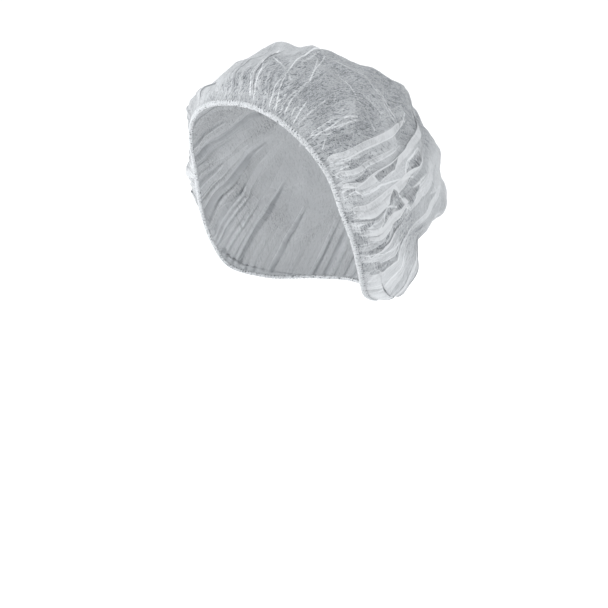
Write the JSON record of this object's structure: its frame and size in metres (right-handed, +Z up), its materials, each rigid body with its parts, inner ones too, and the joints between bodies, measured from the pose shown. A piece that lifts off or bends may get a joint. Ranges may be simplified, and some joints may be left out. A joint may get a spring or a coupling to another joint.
{
  "type": "bouffant cap",
  "caption": "Disposable bouffant cap: a thin white gathered cloth crown on an elastic edge, in the form it takes on a head",
  "frame": {"origin": "the seat on top of the head that the cap fits, under the crown, where a head holds the cap", "axes": "+Z up out of the seat, -Y the way the wearer faces, +X the wearer's left"},
  "size_m": [0.1824, 0.1879, 0.1901],
  "materials": {
    "cloth": "thin white spunbond nonwoven, translucent, matt, with fine fibres",
    "elastic": "white covered elastic, matt, overlocked into the cloth's edge"
  },
  "bodies": {
    "root": {"crown": "cloth", "elastic_band": "elastic"}
  },
  "joints": []
}
